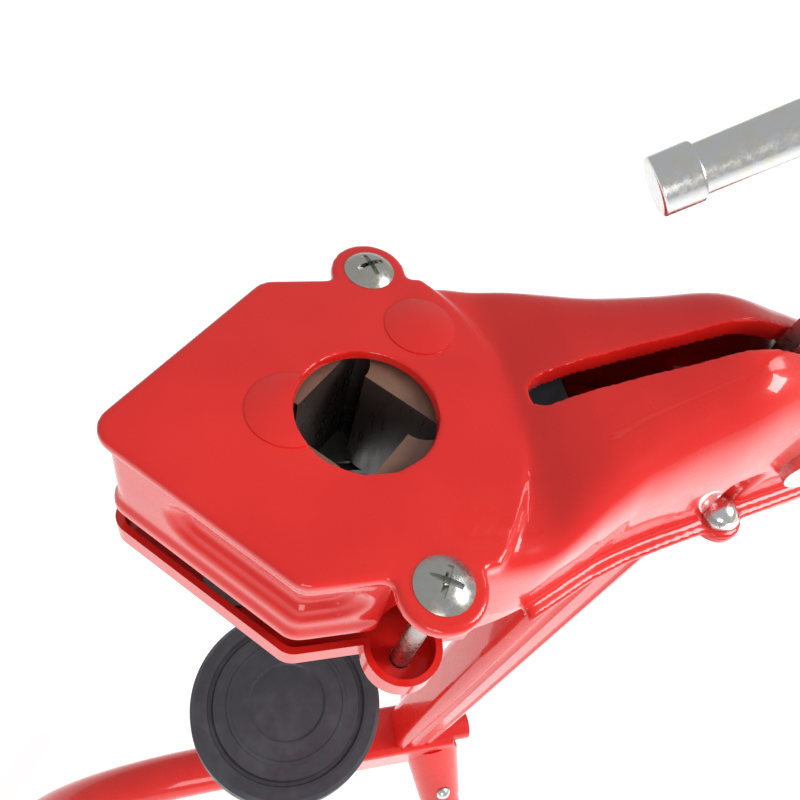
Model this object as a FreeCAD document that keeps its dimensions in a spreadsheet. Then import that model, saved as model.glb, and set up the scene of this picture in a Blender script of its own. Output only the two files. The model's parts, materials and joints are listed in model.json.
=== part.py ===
"""Floor-standing lever bottle corker, as a parametric FreeCAD document.

Frame: millimetres, +Z up, Z = 0 on the floor, X = 0 the plane of symmetry.  The nose of
the head points along -Y and the lever stands at +Y.  The drawing's own zero is the centre
of the cork hole on the head's top face, so every piece is drawn from there and then placed
by bore_y and head_z.
"""

import FreeCAD, Part
import math
import os
import re

os.makedirs("parts", exist_ok=True)
doc = FreeCAD.newDocument("floor_corker")
V = FreeCAD.Vector
X_AXIS, Y_AXIS, Z_AXIS = V(1, 0, 0), V(0, 1, 0), V(0, 0, 1)

# ---------------------------------------------------------------- driving dimensions
DRIVING = {
    # where the whole thing stands
    "head_z": 700,            # height of the head's top face above the floor
    "clearance": 0.3,         # gap between pieces that pass each other
    "fit": 0.05,              # radial clearance of a pin in its hole
    # head, in plan
    "nose_y": 70.5,           # sharp tip of the nose, ahead of the cork hole
    "head_half": 47.2,        # half the head's width
    "nose_round": 7,          # plan radius at the nose
    "cork_hole_radius": 19.4,
    "ear_x": 50.3,            # clamp screw axis
    "ear_y": 9.4,
    "ear_radius": 11.5,
    "lower_ear_radius": 11.5,
    "lower_ear_in": 1.5,      # its centre is this far inside the screw's axis
    "pocket_radius": 10,      # hollow in the side wall beside each clamp screw
    "sheet": 2,               # thickness of the pressed steel
    "edge_round": 4,          # radius along the top edge
    "upper_depth": 38,        # top face to the upper shell's lower edge
    "head_depth": 56,         # top face to the underside of the lower shell
    "lip_rise": 8,            # lip round the lower shell
    "lip_edge": 3,            # plan radius of the lower shell's corners
    "rim_over": 1.8,          # overhang of the flat top beyond the walls
    "groove_depth": 2,        # stamped trough round the walls
    "groove_half": 8.5,       # half its height
    "groove_step": 3,         # its deeper floor is narrower by this much on each side
    "trough_start": 22,       # from the nose to the trough's front end, along the V
    "disc_radius": 74,        # arc that ends the flat top
    "disc_back": 42.3,        # where that arc crosses the middle
    "badge_radius": 10.5,     # the two round raised blanks on the top
    "badge_rise": 0.7,
    # neck
    "slot_width": 10,
    "slot_front": 46,
    "slot_back": 161,
    "neck_end": 172,
    "flange": 5,              # rim on each side of the neck
    "flange_bolt_x": 24.5,
    "flange_bolt_y": 118,
    # jaws
    "jaw_width": 25,          # inner face to outer face
    "jaw_length": 40.4,
    "jaw_groove": 8,          # radius of the quarter groove in each jaw
    "jaw_front_open": 16.4,   # front faces to the cork hole's axis, square to the face
    "jaw_rear_open": 11.8,    # rear faces, which stay put
    "jaw_closed": 16,         # side of the square bore when it is closed
    "jaw_height": 44.6,
    "jaw_gap": 0.15,          # between one jaw's end and the next jaw's face
    "jaw_side": 36.4,         # jaws are trimmed this far from the middle
    "yoke_plate": 2,
    "yoke_lip": 2,
    "floor_plate": 2.2,
    "throat_radius": 11,      # cork's way through the floor
    "cone_mouth": 17,
    "cone_depth": 10,
    # lever, about its pivot
    "pivot_y": 140,
    "pivot_z": -15,
    "pivot_radius": 5,
    "lever_rest": 86.4,       # direction of the arm above the horizontal, at rest
    "lever_throw": 64.5,      # degrees from rest to fully down
    "plunger_arm": 154.1,     # pivot to plunger pin
    "blade_half": 12,
    "blade_thick": 6,
    "web_depth": 23.5,        # front edge of the blade's web
    "web_low": 31,
    "web_high": 90,
    "hub_radius": 14,
    "crank_pin_radius": 3,
    "tube_start": 177,
    "tube_end": 600,
    "blade_end": 240,
    "lever_tube_radius": 12.5,
    "tube_wall": 1.8,
    "grip_length": 125,
    "grip_wall": 3.2,
    # plunger, from its pin
    "plunger_length": 120.1,
    "plunger_rest": 212,      # direction of the rod at rest
    "plunger_radius": 5.4,
    "plunger_tip_radius": 6.4,
    "plunger_tip_length": 9,
    "plunger_pin_radius": 4,
    # column
    "column_width": 29,
    "column_depth": 30,
    "column_round": 7,
    "column_top_y": 116,
    "column_foot_y": 99,
    "head_plate": 4,
    # legs
    "leg_drop": 445,          # top face to the centre of the main tube
    "leg_radius": 15,
    "leg_wall": 2,
    "stub_y": 148,            # open rear end of the main tube
    "swage_y": 128,           # where it is drawn down to the stub
    "stub_radius": 10,
    "saddle_front": 24,       # folded saddle over the main tube, under the column
    "saddle_top": 27,         # above the tube's centre
    "saddle_wall": 2,
    "front_bend_y": 30,       # the front leg starts to bend this far ahead of the cork hole
    "front_bend_radius": 150,
    "front_leg_angle": 62,
    "side_leg_radius": 15,
    "side_leg_y": 118,
    "side_slope": 1.25,       # drop for each unit sideways
    "side_splay": 0.3,        # rearward for each unit sideways
    "socket_length": 58,
    "socket_wall": 6.5,
    "leg_screw_at": 45,       # down the leg from the hub
    "foot_length": 34,
    "foot_wall": 3,
    # bottle platform
    "platform_drop": 291,     # top face of the head to the top of the platform
    "platform_radius": 53,
    "platform_y": 0,          # axis of the platform's rod, behind the cork hole's centre
    "platform_height": 12,
    "platform_travel": 100,
    "rod_radius": 8,
    "guide_radius": 12,
    "guide_wall": 1.8,
    "guide_rise": 6,          # guide tube above the main tube
    "guide_length": 216,
    "spring_wire": 1.1,
    "spring_turns": 13,
}

sheet = doc.addObject("Spreadsheet::Sheet", "sizes")
for row, (alias, value) in enumerate(DRIVING.items(), start=1):
    sheet.set("A%d" % row, alias)
    sheet.set("B%d" % row, str(value))
    sheet.setAlias("B%d" % row, alias)

# ---------------------------------------------------------------- worked-out dimensions
DERIVED = {
    # the rear faces stay put, so the closed bore lies behind the open one
    "axis_y": "(jaw_rear_open - jaw_closed / 2) * sqrt(2)",
    "yoke_travel": "(jaw_front_open + jaw_rear_open - jaw_closed) * sqrt(2)",
    "crank_radius": "yoke_travel / (2 * sin(lever_throw / 2))",
    # stack inside the head, from the top face down
    "floor_top": "-(head_depth - sheet)",
    "plate_top": "floor_top + floor_plate",
    "yoke_bottom": "plate_top + clearance",
    "yoke_top": "yoke_bottom + yoke_plate",
    "jaw_bottom": "yoke_top + clearance",
    # legs
    "socket_inner": "side_leg_radius + fit",
    "socket_outer": "side_leg_radius + fit + socket_wall",
    "side_unit": "sqrt(1 + side_slope * side_slope + side_splay * side_splay)",
    "side_leg_length": "(head_z - leg_drop - foot_wall) * side_unit / side_slope",
    "bend_drop": "front_bend_radius * (1 - cos(front_leg_angle))",
    "bend_reach": "front_bend_radius * sin(front_leg_angle)",
    "front_straight": "(head_z - leg_drop - bend_drop - foot_wall) / sin(front_leg_angle)",
    "front_foot_y": "-(front_bend_y + bend_reach + front_straight * cos(front_leg_angle))",
    "side_foot_x": "(head_z - leg_drop) / side_slope",
    "side_foot_y": "side_leg_y + side_splay * side_foot_x",
    "foot_radius": "leg_radius + foot_wall",
    # the origin lies under the middle of the object's length
    "bore_y": "-(front_foot_y - foot_radius + side_foot_y + foot_radius) / 2",
    # platform
    "guide_top": "-(leg_drop - leg_radius - guide_rise)",
    "guide_bottom": "guide_top - guide_length",
    "guide_inner": "guide_radius - guide_wall",
    "bush_length": "20",
    "collar_top": "guide_top - bush_length - 0.5",
    "collar_height": "10",
    "plug_height": "10",
    "spring_bottom": "guide_bottom + plug_height",
    "spring_top": "collar_top - collar_height",
}
first = len(DRIVING) + 2
for row, (alias, formula) in enumerate(DERIVED.items(), start=first):
    sheet.set("A%d" % row, alias)
    sheet.set("B%d" % row, "=" + re.sub(r"(sin|cos)\(([^()]*)\)", r"\1((\2) * 1deg)", formula))
    sheet.setAlias("B%d" % row, alias)
doc.recompute()

ALIASES = set(DRIVING) | set(DERIVED)


def size(alias):
    """A dimension from the sheet, as a plain number."""
    return float(sheet.get(alias))


def bind(obj, prop, formula):
    """Drive a property by a formula in the sheet's own words."""
    text = re.sub(r"[a-z_]+[a-z]", lambda m: "sizes." + m[0] if m[0] in ALIASES else m[0], str(formula))
    obj.setExpression(prop, text)


# ---------------------------------------------------------------- small helpers
made = {}          # node name -> document object


def node(label, obj):
    """Give a sub-part its label, which names its file."""
    obj.Label = label
    made[label] = obj
    return obj


def put(obj, x="0", y="0", z="0", turn=None):
    """Place a primitive at a point drawn from the cork hole's centre."""
    if turn is not None:
        obj.Placement = FreeCAD.Placement(V(0, 0, 0), turn)
    bind(obj, "Placement.Base.x", x)
    bind(obj, "Placement.Base.y", "bore_y + (%s)" % y)
    bind(obj, "Placement.Base.z", "head_z + (%s)" % z)
    return obj


ALONG = {
    "z": FreeCAD.Rotation(),
    "-z": FreeCAD.Rotation(X_AXIS, 180),
    "x": FreeCAD.Rotation(Y_AXIS, 90),
    "-x": FreeCAD.Rotation(Y_AXIS, -90),
    "y": FreeCAD.Rotation(X_AXIS, -90),
}


def cylinder(radius, height, x="0", y="0", z="0", along="z"):
    obj = doc.addObject("Part::Cylinder", "cylinder")
    bind(obj, "Radius", radius)
    bind(obj, "Height", height)
    return put(obj, x, y, z, ALONG[along] if isinstance(along, str) else along)


def cone(radius_a, radius_b, height, x="0", y="0", z="0", along="z"):
    obj = doc.addObject("Part::Cone", "cone")
    bind(obj, "Radius1", radius_a)
    bind(obj, "Radius2", radius_b)
    bind(obj, "Height", height)
    return put(obj, x, y, z, ALONG[along])


def box(length, width, height, x="0", y="0", z="0"):
    obj = doc.addObject("Part::Box", "box")
    bind(obj, "Length", length)
    bind(obj, "Width", width)
    bind(obj, "Height", height)
    return put(obj, x, y, z)


def hexagon(across_corners, height, x="0", y="0", z="0", along="z"):
    obj = doc.addObject("Part::Prism", "hexagon")
    obj.Polygon = 6
    bind(obj, "Circumradius", across_corners)
    bind(obj, "Height", height)
    return put(obj, x, y, z, ALONG[along] if isinstance(along, str) else along)


def ball(radius, x, y, z):
    obj = doc.addObject("Part::Sphere", "ball")
    bind(obj, "Radius", radius)
    return put(obj, x, y, z)


def cut(base, *tools):
    """Base less each tool in turn."""
    for tool in tools:
        obj = doc.addObject("Part::Cut", "cut")
        obj.Base, obj.Tool = base, tool
        base = obj
    return base


def fuse(*shapes):
    obj = doc.addObject("Part::MultiFuse", "fuse")
    obj.Shapes = list(shapes)
    return obj


def common(a, b):
    obj = doc.addObject("Part::MultiCommon", "common")
    obj.Shapes = [a, b]
    return obj


def pair(make):
    """The same piece on the near and on the far side, as two solids in one node."""
    obj = doc.addObject("Part::Compound", "pair")
    obj.Links = [make("-1"), make("1")]
    return obj


def drawn(label, shape):
    """A tool or blank whose surface no sketch feature gives, drawn from the hole's centre."""
    where = shape.Placement.toMatrix()
    shape = shape.copy()
    shape.Placement = FreeCAD.Placement()
    obj = doc.addObject("Part::Feature", label)
    obj.Shape = shape.transformed(where, True)
    return put(obj)


def shaped(label, shape):
    """The same, for a finished piece."""
    return node(label, drawn(label, shape))


# ================================================================ the pressed head
HALF, NOSE, SHEET = size("head_half"), size("nose_y"), size("sheet")
AXIS_Y = size("axis_y")
ROOT2 = math.sqrt(2)

# crown of the neck over its length: distance behind the hole, height, half width at the
# foot as a share of the head's half width, and how round the arch is (0 is a square one)
NECK = [
    (25.0, -1.2, 0.955, 0.36),
    (37.0, -1.2, 0.930, 0.36),
    (44.0, 1.8, 0.900, 0.38),
    (50.0, 8.0, 0.862, 0.41),
    (63.5, 12.8, 0.763, 0.46),
    (76.0, 17.0, 0.678, 0.50),
    (90.0, 22.0, 0.593, 0.55),
    (104.0, 26.6, 0.530, 0.55),
    (121.0, 22.6, 0.456, 0.55),
    (140.0, 16.5, 0.392, 0.55),
    (156.0, 8.0, 0.330, 0.55),
    (size("neck_end"), -8.0, 0.240, 0.55),
]
RIM_END = size("neck_end") - 6


def rounded(points, radii):
    """A closed wire through the points, each corner rounded to its own radius."""
    edges, starts, ends = [], [], []
    count = len(points)
    for i, radius in enumerate(radii):
        here = V(*points[i], 0)
        back = (V(*points[i - 1], 0) - here).normalize()
        on = (V(*points[(i + 1) % count], 0) - here).normalize()
        if radius <= 0:
            starts.append(here)
            ends.append(here)
            edges.append(None)
            continue
        half = back.getAngle(on) / 2
        reach = radius / math.tan(half)
        a, b = here + back * reach, here + on * reach
        centre = here + (back + on).normalize() * (radius / math.sin(half))
        middle = centre + (here - centre).normalize() * radius
        starts.append(a)
        ends.append(b)
        edges.append(Part.Arc(a, middle, b).toShape())
    chain = []
    for i in range(count):
        if edges[i]:
            chain.append(edges[i])
        nxt = starts[(i + 1) % count]
        if (ends[i] - nxt).Length > 1e-6:
            chain.append(Part.LineSegment(ends[i], nxt).toShape())
    return Part.Wire(chain)


def prism(wire, low, high):
    """A solid of a flat wire between two heights."""
    face = Part.Face(wire)
    face.translate(V(0, 0, low))
    return face.extrude(V(0, 0, high - low))


def upright(radius, x, y, low, high):
    return Part.makeCylinder(radius, high - low, V(x, y, low))


def ball_at(radius, x, y, z):
    return Part.makeSphere(radius, V(x, y, z))


def head_plan(inset, back):
    """The home-plate outline: V nose, straight sides and a square back, moved in by inset."""
    side = HALF - inset
    nose = NOSE - inset * ROOT2
    corner = nose - side
    round_nose = max(size("nose_round") - inset * 0.4, 1.0)
    return rounded([(0, -nose), (side, -corner), (side, back), (-side, back), (-side, -corner)],
                   [round_nose, round_nose, 0, 0, round_nose])


def neck_solid(inset, low):
    """The saddle-shaped neck, lofted through arched sections and closed behind."""
    sections = []
    for y, crown, share, arch_power in NECK:
        half = HALF * share - inset
        crown -= inset
        if y == NECK[-1][0]:
            y -= inset
        points = []
        for step in range(13):
            angle = math.pi * step / 12
            across, up = math.cos(angle), math.sin(angle)
            # a squarish arch: steep at the foot, full at the shoulder
            x = half * math.copysign(abs(across) ** arch_power, across)
            points.append(V(x, y, low + (crown - low) * up ** arch_power))
        arch = Part.BSplineCurve()
        arch.interpolate(points)
        foot = Part.LineSegment(points[-1], points[0])
        sections.append(Part.Wire([arch.toShape(), foot.toShape()]))
    loft = Part.makeLoft(sections, True, False)
    if loft.Volume < 0:
        loft.reverse()
    return loft


def plan_at(y):
    """Half width of the neck's foot at a distance behind the hole."""
    for (y0, _, a0, _), (y1, _, a1, _) in zip(NECK, NECK[1:]):
        if y <= y1:
            return HALF * (a0 + (a1 - a0) * (y - y0) / (y1 - y0))
    return HALF * NECK[-1][2]


# the pivot's head and nut seat this far out
SEAT = plan_at(size("pivot_y")) + 0.3


def rim_wire(extra, front):
    """Outline of the neck in plan, widened by extra, with a rounded end."""
    stations = [front] + [y for y in (42, 63.5, 90, 121, 140) if front + 5 < y] + [RIM_END - 8]
    right = [V(plan_at(y) + extra, y, 0) for y in stations]
    left = [V(-p.x, p.y, 0) for p in reversed(right)]
    curve_r, curve_l = Part.BSplineCurve(), Part.BSplineCurve()
    curve_r.interpolate(right)
    curve_l.interpolate(left)
    tail = Part.Arc(right[-1], V(0, RIM_END + 8 + extra, 0), left[0])
    head = Part.LineSegment(left[-1], right[0])
    return Part.Wire([curve_r.toShape(), tail.toShape(), curve_l.toShape(), head.toShape()])


def tilted(u0, u1, v0, v1, low, high):
    """A block square to the V walls: u runs rearward-right, v rearward-left."""
    block = Part.makeBox(u1 - u0, v1 - v0, high - low, V(u0, v0, low))
    block.rotate(V(0, 0, 0), Z_AXIS, 45)
    return block


def only(shape):
    """The largest solid of a boolean's result."""
    return max(shape.removeSplitter().Solids, key=lambda solid: solid.Volume)


def flange_blank(low):
    """The rim round the neck's foot, with a lobe for each flange bolt."""
    blank = prism(rim_wire(size("flange"), 44), low, low + SHEET)
    for s in (-1, 1):
        blank = blank.fuse(upright(8.5, s * size("flange_bolt_x"), size("flange_bolt_y"), low, low + SHEET))
    return blank


def pockets(radius, low, high):
    """The hollows in the side walls beside the clamp screws."""
    return [upright(radius, s * size("ear_x"), size("ear_y"), low, high) for s in (-1, 1)]


def hull_solid(inset, low, top, bead=0):
    """The plain box of the head down to a height, with the pockets taken out."""
    back = NECK[0][0] + 2
    solid = prism(head_plan(inset + size("rim_over"), back), low, top)
    if bead:
        band = prism(head_plan(inset + size("rim_over") - bead, back), low, low + 3 * bead)
        level = [e for e in band.Edges if e.BoundBox.ZLength < 1e-6 and e.BoundBox.YMin < back - 1]
        solid = solid.fuse(band.makeFillet(bead * 0.9, level))
    for tool in pockets(size("pocket_radius") + inset, low - 1, top + 1):
        solid = solid.cut(tool)
    return solid


def wall_trough(depth, half, grow):
    """A trough round each side: along the V wall, round the corner and back to the ear."""
    middle = -size("upper_depth") * 0.52
    over = size("rim_over")
    high = half + grow
    u_wall = NOSE / ROOT2 - over
    # centres of the two round ends: on the V wall near the nose, and on the side by the ear
    near = size("trough_start") + size("groove_half") - u_wall
    far = size("ear_y") - size("pocket_radius") - 4 - size("groove_half")
    floor_plan = head_plan(over + depth + grow, 60)
    sides = []
    for s in (-1, 1):
        band = tilted(near, 200, -300, 300, middle - high, middle + high)
        band = band.common(Part.makeBox(300, 300, 90, V(0, far - 300, middle - 45)))
        nose_end = Part.makeCylinder(high, 60, V(near, -u_wall - 40, middle), Y_AXIS)
        nose_end.rotate(V(0, 0, 0), Z_AXIS, 45)
        side_end = Part.makeCylinder(high, 40, V(HALF - 15, far, middle), X_AXIS)
        solid = band.fuse([nose_end, side_end]).cut(prism(floor_plan, middle - 50, middle + 50))
        solid = solid.removeSplitter()
        sides.append(solid.mirror(V(0, 0, 0), X_AXIS) if s < 0 else solid)
    return sides


def upper_shell():
    low = -size("upper_depth")
    r_ear, ex, ey = size("ear_radius"), size("ear_x"), size("ear_y")
    arc_y = size("disc_back") - size("disc_radius")
    # top plate: home plate and ears, cut off behind by the big arc
    plate_low = -size("edge_round") - 1.0
    disc = upright(size("disc_radius"), 0, arc_y, plate_low, 0)
    meets = arc_y + math.sqrt(size("disc_radius") ** 2 - HALF ** 2)
    plate = prism(head_plan(0, meets - 5), plate_low, 0)
    back = Part.makeBox(4 * HALF, 60, 10, V(-2 * HALF, meets - 13, plate_low))
    plate = plate.fuse(disc.common(back)).common(Part.makeBox(2 * HALF, 200, 60, V(-HALF, -120, -30)))
    for s in (-1, 1):
        plate = plate.fuse(upright(r_ear, s * ex, ey, plate_low, 0))
    plate = plate.removeSplitter()
    rim = [e for e in plate.Edges if abs(e.BoundBox.ZMin) < 1e-6 and abs(e.BoundBox.ZMax) < 1e-6]
    plate = plate.makeFillet(size("edge_round") * 0.75, rim)
    # the trough is pressed in two steps, and the sheet follows it inside
    deep, half, step = size("groove_depth"), size("groove_half"), size("groove_step")
    walls, hollow = hull_solid(0, low, -1.0, 1.3), hull_solid(SHEET, low - 1, -SHEET)
    for trough in wall_trough(deep / 2, half, 0) + wall_trough(deep, half - step, 0):
        walls = walls.cut(trough)
    for trough in wall_trough(deep / 2, half, SHEET) + wall_trough(deep, half - step, SHEET):
        hollow = hollow.cut(trough)
    # the neck's foot is scalloped round each flange bolt
    neck_out, neck_in = neck_solid(0, low), neck_solid(SHEET, low - 1)
    for s in (-1, 1):
        at = (s * size("flange_bolt_x"), size("flange_bolt_y"))
        neck_out = neck_out.cut(upright(7.2, *at, low - 1, low + 24).fuse(ball_at(7.2, *at, low + 24)))
        neck_in = neck_in.cut(upright(7.2 + SHEET, *at, low - 2, low + 24).fuse(
            ball_at(7.2 + SHEET, *at, low + 24)))
    outer = plate.fuse([walls, neck_out])
    # ears are open underneath, so the inside follows the walls only
    inner = hollow.fuse(neck_in)
    flange = flange_blank(low)
    shell = outer.fuse(flange).cut(inner)
    # hollow under the ears
    for s in (-1, 1):
        shell = shell.cut(upright(size("pocket_radius") - 1.5, s * ex, ey, plate_low - 1, -SHEET - 0.6))
        shell = shell.cut(upright(3.3, s * ex, ey, -12, 2))
    # the cork hole, the slot for the lever, the pivot and the flange bolts
    shell = shell.cut(upright(size("cork_hole_radius"), 0, 0, -20, 10))
    half_slot = size("slot_width") / 2
    front, rear = size("slot_front") + half_slot, size("slot_back")
    slot = upright(half_slot, 0, front, -30, 60).fuse(
        Part.makeBox(2 * half_slot, rear - front, 90, V(-half_slot, front, -30)))
    shell = shell.cut(slot)
    shell = shell.cut(Part.makeCylinder(size("pivot_radius") + 0.02, 80,
                                        V(-40, size("pivot_y"), size("pivot_z")), X_AXIS))
    for s in (-1, 1):
        shell = shell.cut(upright(3.3, s * size("flange_bolt_x"), size("flange_bolt_y"), low - 2, low + 5))
        # flat seats inside and outside for the pivot's spacers and head
        inside = Part.makeCylinder(9.3, SEAT - SHEET - 4, V(s * 4, size("pivot_y"), size("pivot_z")), X_AXIS * s)
        outside = Part.makeCylinder(10.2, 12, V(s * SEAT, size("pivot_y"), size("pivot_z")), X_AXIS * s)
        shell = shell.cut(inside).cut(outside)
    return shell


def badges():
    """Two plain raised rounds on the flat top; the cork hole cuts the front one."""
    rise, r = size("badge_rise"), size("badge_radius")
    rounds = []
    for x, y, radius in ((-27.9, 20.6, r), (-1.3, -20.3, r + 1.2)):
        blank = upright(radius, x, y, -0.5, rise)
        top = [e for e in blank.Edges if abs(e.BoundBox.ZMin - rise) < 1e-6]
        rounds.append(blank.makeFillet(rise * 0.9, [top[0]]))
    hole = upright(size("cork_hole_radius"), 0, 0, -20, 10)
    return [b.cut(hole) for b in rounds]


shell_shape = upper_shell()
for badge in badges():
    shell_shape = shell_shape.fuse(badge)
shaped("head_upper_shell", only(shell_shape))


def lower_shell():
    """The tray under the head: a lip round the front, walls up to the flange behind."""
    bottom, floor = -size("head_depth"), size("floor_top")
    lip, upper = bottom + size("lip_rise"), -size("upper_depth")
    ex, ey, ear = size("ear_x"), size("ear_y"), size("lower_ear_radius")

    def tray(inset, low, high):
        solid = prism(head_plan(inset, 30 - inset), low, high)
        for s in (-1, 1):
            solid = solid.fuse(upright(ear - inset, s * (ex - size("lower_ear_in")), ey, low, high))
        return solid

    rear = prism(rim_wire(0, 24), bottom, upper)
    rear = rear.cut(Part.makeBox(200, 34, 40, V(-100, 0, lip)))
    inside = prism(rim_wire(-SHEET, 24), floor, upper + 1)
    for s in (-1, 1):
        # the walls step in round each flange nut
        at = (s * size("flange_bolt_x"), size("flange_bolt_y"))
        rear = rear.cut(upright(7.2, *at, bottom - 1, upper + 1))
        inside = inside.cut(upright(7.2 + SHEET, *at, bottom - 1, upper + 2))
    shell = tray(0, bottom, lip).fuse(rear).fuse(flange_blank(upper - SHEET))
    shell = shell.cut(tray(SHEET, floor, lip + 1)).cut(inside)
    for s in (-1, 1):
        shell = shell.cut(upright(3.3, s * size("flange_bolt_x"), size("flange_bolt_y"), bottom - 1, upper + 1))
        shell = shell.cut(upright(3.3, s * ex, ey, bottom - 1, lip))
        shell = shell.cut(upright(3.1, s * 20, 50, bottom - 1, floor + 1))
    return shell.cut(upright(size("throat_radius") + 4.6, 0, AXIS_Y, bottom - 1, floor + 1))


shaped("head_lower_shell", only(lower_shell()))


# ---------------------------------------------------------------- fasteners of the head
def truss_screw(side):
    """A broad domed head with a cross recess on a plain shank."""
    x, y = "%s * ear_x" % side, "ear_y"
    head = common(cylinder("7.75", "3.2", x, y, "0.02"), ball("10.6", x, y, "-7.6"))
    recess = fuse(box("7.6", "1.5", "2", x + " - 3.8", y + " - 0.75", "1.6"),
                  box("1.5", "7.6", "2", x + " - 0.75", y + " - 3.8", "1.6"))
    shank = cylinder("3", "head_depth + 7", x, y, "-(head_depth + 6)")
    return fuse(cut(head, recess), shank)


node("head_clamp_screws", pair(truss_screw))


def clamp_nut(side):
    x = "%s * ear_x" % side
    low = "-(head_depth + 5.1)"
    return cut(hexagon("5.77", "5", x, "ear_y", low), cylinder("3.02", "5", x, "ear_y", low))


node("head_clamp_nuts", pair(clamp_nut))


def flange_bolt(side):
    x, y = "%s * flange_bolt_x" % side, "flange_bolt_y"
    seat = "-upper_depth + sheet + 1.6"
    head = common(cylinder("5.2", "4.2", x, y, seat), ball("6.2", x, y, seat + " - 2"))
    return fuse(head, cylinder("3", "15", x, y, seat + " - 14.8"))


def flange_washer(side):
    x, y, seat = "%s * flange_bolt_x" % side, "flange_bolt_y", "-upper_depth + sheet"
    return cut(cylinder("6.6", "1.6", x, y, seat), cylinder("3.02", "1.6", x, y, seat))


def flange_nut(side):
    x, y, low = "%s * flange_bolt_x" % side, "flange_bolt_y", "-(upper_depth + sheet + 5)"
    return cut(hexagon("5.77", "5", x, y, low), cylinder("3.02", "5", x, y, low))


node("flange_bolts", pair(flange_bolt))
node("flange_washers", pair(flange_washer))
node("flange_nuts", pair(flange_nut))

# ---------------------------------------------------------------- inside the head
plate = box("60", "88", "floor_plate", "-30", "-44", "floor_top")
tail = box("24", "70", "floor_plate", "-12", "44 - 0.5", "floor_top")
holes = [cylinder("throat_radius + 4.6", "floor_plate", "0", "axis_y", "floor_top")]
holes += [cylinder("3.1", "floor_plate", "%d * 20" % s, "50", "floor_top") for s in (-1, 1)]
nose_trim = drawn("floor_trim", prism(head_plan(SHEET + 1.2, 120), size("floor_top") - 1,
                                      size("plate_top") + 1))
node("jaw_floor_plate", cut(common(fuse(plate, tail), nose_trim), *holes))


JAW_LOW = size("jaw_bottom")
JAW_HIGH = JAW_LOW + size("jaw_height")
WIDE, LONG = size("jaw_width"), size("jaw_length")
FRONT, REAR = size("jaw_front_open"), size("jaw_rear_open")
GROOVE, GAP = size("jaw_groove"), size("jaw_gap")
BACK_FACE = REAR + WIDE + 0.1

block = tilted(-30, 60, -30, 60, JAW_LOW, JAW_HIGH - 1)
block = block.cut(tilted(-90, BACK_FACE, -90, BACK_FACE, JAW_LOW - 1, JAW_HIGH + 1))
block = block.common(Part.makeBox(64, 44, 80, V(-32, 18, -60)))
block = block.cut(Part.makeBox(14, 60, 22, V(-7, 40, JAW_LOW - 1)))
stop = drawn("stop_blank", block)
stop_holes = [cylinder("3.05", "22", "%d * 20" % s, "50", "floor_top") for s in (-1, 1)]
node("jaw_back_stop", cut(stop, *stop_holes))


def stop_screw(side):
    x = "%s * 20" % side
    head = cylinder("5", "3.5", x, "50", "-(head_depth + 3.5)")
    return fuse(head, cylinder("3", "20", x, "50", "-head_depth"))


node("back_stop_screws", pair(stop_screw))

# bottle-neck cone: a flanged ring under the floor with a spigot up through it
ring = cylinder("throat_radius + 10", "cone_depth", "0", "axis_y", "-(head_depth + cone_depth)")
spigot = cylinder("throat_radius + 4.5", "sheet + floor_plate - 0.2", "0", "axis_y", "-head_depth")
mouth = cone("cone_mouth", "throat_radius", "cone_depth - 2", "0", "axis_y",
             "-(head_depth + cone_depth)")
throat = cylinder("throat_radius", "30", "0", "axis_y", "-(head_depth + cone_depth)")
node("bottle_neck_cone", cut(fuse(ring, spigot), mouth, throat))

# ---------------------------------------------------------------- the four jaws
# each jaw's inner face, its own span along that face and where its groove is
JAWS = {
    "jaw_left_rear": (-FRONT + GAP, -FRONT + LONG, REAR, REAR + WIDE, (-FRONT + GAP, REAR)),
    "jaw_right_rear": (REAR, REAR + WIDE, REAR - LONG, REAR - GAP, (REAR, REAR - GAP)),
    "jaw_right_front": (REAR - LONG, REAR - GAP, -FRONT - WIDE, -FRONT, (REAR - GAP, -FRONT)),
    "jaw_left_front": (-FRONT - WIDE, -FRONT, -FRONT + GAP, -FRONT + LONG, (-FRONT, -FRONT + GAP)),
}
trim = size("jaw_side")
for name, (u0, u1, v0, v1, (gu, gv)) in JAWS.items():
    jaw = tilted(u0, u1, v0, v1, JAW_LOW, JAW_HIGH)
    jaw = jaw.cut(upright(GROOVE, (gu - gv) / ROOT2, (gu + gv) / ROOT2, JAW_LOW - 1, JAW_HIGH + 1))
    jaw = jaw.common(Part.makeBox(2 * trim, 140, 80, V(-trim, -70, -70)))
    shaped(name, jaw)

# ---------------------------------------------------------------- the yoke that pulls the jaws
LIP_IN = FRONT + WIDE + 0.3
LIP_OUT = LIP_IN + size("yoke_lip")
YOKE_LOW, YOKE_HIGH = size("yoke_bottom"), size("yoke_top")
plate = tilted(-LIP_OUT, 45, -LIP_OUT, 45, YOKE_LOW, YOKE_HIGH)
plate = plate.common(Part.makeBox(60, 99, 10, V(-30, -70, YOKE_LOW - 1)))
lip = tilted(-LIP_OUT, 45, -LIP_OUT, 45, YOKE_LOW, JAW_HIGH - 4)
lip = lip.cut(tilted(-LIP_IN, 90, -LIP_IN, 90, YOKE_LOW - 1, JAW_HIGH))
lip = lip.common(Part.makeBox(60, 60, 80, V(-30, -70, -60)))
travel = size("yoke_travel")
CRANK_Y = size("pivot_y") - travel / 2
tail_end = CRANK_Y + 8.5
tail = Part.makeBox(15, tail_end - 28, YOKE_HIGH - YOKE_LOW, V(-7.5, 28, YOKE_LOW))
window = upright(size("throat_radius") + 2, 0, AXIS_Y, YOKE_LOW - 1, YOKE_HIGH + 1)
far = AXIS_Y - travel
window = window.fuse(upright(size("throat_radius") + 2, 0, far, YOKE_LOW - 1, YOKE_HIGH + 1))
window = window.fuse(Part.makeBox(2 * size("throat_radius") + 4, travel, 10,
                                  V(-size("throat_radius") - 2, far, YOKE_LOW - 1)))
half_swing = math.radians(size("lever_throw") / 2)
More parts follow.
